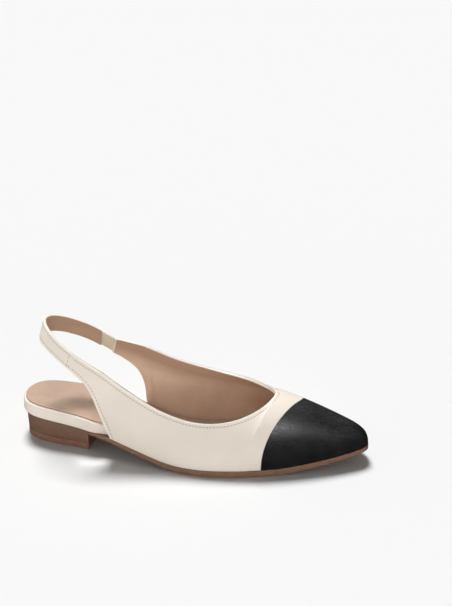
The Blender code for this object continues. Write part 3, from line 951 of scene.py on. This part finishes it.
def placeCamera():
    turn, rise = math.radians(view["azimuth"]), math.radians(view["elevation"])
    right = Vector((math.cos(turn), math.sin(turn), 0))
    back = Vector((math.sin(turn) * math.cos(rise), -math.cos(turn) * math.cos(rise), math.sin(rise)))
    up = back.cross(right)
    wide, high = view["frame"]
    scale = view["pixelsPerMetre"]
    place = view["anchor"] + back * view["distance"]
    target = view["anchor"] + right * (wide / 2 - view["anchorPixel"][0]) / scale
    target += up * (view["anchorPixel"][1] - high / 2) / scale
    camera = bpy.data.objects.new("camera", bpy.data.cameras.new("camera"))
    bpy.context.scene.collection.objects.link(camera)
    camera.data.sensor_width = view["sensor"]
    camera.data.lens = view["sensor"] * scale * view["distance"] / high
    camera.data.clip_start, camera.data.clip_end = view["clip"]
    z = (place - target).normalized()
    x = Vector((0, 0, 1)).cross(z).normalized()
    camera.matrix_world = Matrix.Translation(place) @ Matrix((x, z.cross(x), z)).transposed().to_4x4()
    bpy.context.scene.camera = camera


ground = {
    "size": 6,
    "colour": (0.86, 0.86, 0.86, 1),
    "roughness": 0.9,
    "specular": 0.1,
}


def makeFloor():
    bm = bmesh.new()
    bmesh.ops.create_grid(bm, x_segments=1, y_segments=1, size=ground["size"])
    mesh = bpy.data.meshes.new("floor")
    bm.to_mesh(mesh)
    bm.free()
    floor = bpy.data.objects.new("floor", mesh)
    bpy.context.scene.collection.objects.link(floor)
    made, _, shader = newMaterial("floor")
    shader.inputs["Base Color"].default_value = ground["colour"]
    shader.inputs["Roughness"].default_value = ground["roughness"]
    shader.inputs["Specular IOR Level"].default_value = ground["specular"]
    mesh.materials.append(made)
    floor.visible_glossy = False


light = {
    "sky": 0.12,            # radiance overhead
    "band": 5.3,            # radiance of the low band of light all round the studio
    "bandTop": (0.02, 0.22),    # height, as a sine, at which the band begins and ends to fade
    "backShare": 0.35,      # of the band that is left behind the shoe
    "backFade": (-0.5, 0.5),    # how far round it fades
    "sunPower": 3.35,
    "sunSpread": 19,        # degrees
    "sunTurn": (-27, -14),  # from behind and from the heel side
    "aim": Vector((0.11, 0, 0.03)),
    "boxes": [              # name, place, size, power and what it lights: never the floor
        ("cap box", (0.47, -0.68, 0.87), (0.4, 0.45), 7.5, ["toe_cap_leather"]),
        ("ridge box", (-0.15, 1.2, 0.6), (0.5, 0.35), 2.6, ["toe_cap_leather"]),
        ("inner box", (0.1, -0.55, 1.1), (0.5, 0.4), 3.5, []),
    ],
}


def makeLights():
    for name, place, size, power, chosen in light["boxes"]:
        data = bpy.data.lights.new(name, "AREA")
        data.shape, data.size, data.size_y, data.energy = "RECTANGLE", size[0], size[1], power
        lamp = bpy.data.objects.new(name, data)
        lamp.location = place
        lamp.rotation_mode = "QUATERNION"
        lamp.rotation_quaternion = (Vector(place) - light["aim"]).to_track_quat("Z", "Y")
        bpy.context.scene.collection.objects.link(lamp)
        lit = bpy.data.collections.new(name + " lights")
        lamp.light_linking.receiver_collection = lit
        for piece in pieces:
            if not chosen or piece.name in chosen:
                lit.objects.link(piece)
    sun = bpy.data.lights.new("top light", "SUN")
    sun.energy, sun.angle = light["sunPower"], math.radians(light["sunSpread"])
    lamp = bpy.data.objects.new("top light", sun)
    lamp.rotation_euler = [math.radians(a) for a in light["sunTurn"]] + [0]
    bpy.context.scene.collection.objects.link(lamp)
    world = bpy.data.worlds.new("studio")
    bpy.context.scene.world = world
    world.use_nodes = True
    tree = world.node_tree
    facing = addNode(tree, "ShaderNodeTexCoord").outputs["Generated"]
    way = addNode(tree, "ShaderNodeSeparateXYZ", {0: facing})
    low = ramp(tree, way.outputs["Z"], *light["bandTop"], light["band"], 0.0)
    front = ramp(tree, way.outputs["Y"], *light["backFade"], 1.0, light["backShare"])
    glow = combine(tree, "ADD", combine(tree, "MULTIPLY", low, front), light["sky"])
    tree.links.new(glow, tree.nodes["Background"].inputs["Strength"])
    tree.nodes["Background"].inputs["Color"].default_value = (1, 1, 1, 1)
    world.cycles_visibility.glossy = False      # only the boxes and the top light show in the gloss
    bpy.context.scene.view_settings.view_transform = "Standard"


placeCamera()
makeFloor()
makeLights()
print("camera, floor and lights placed")
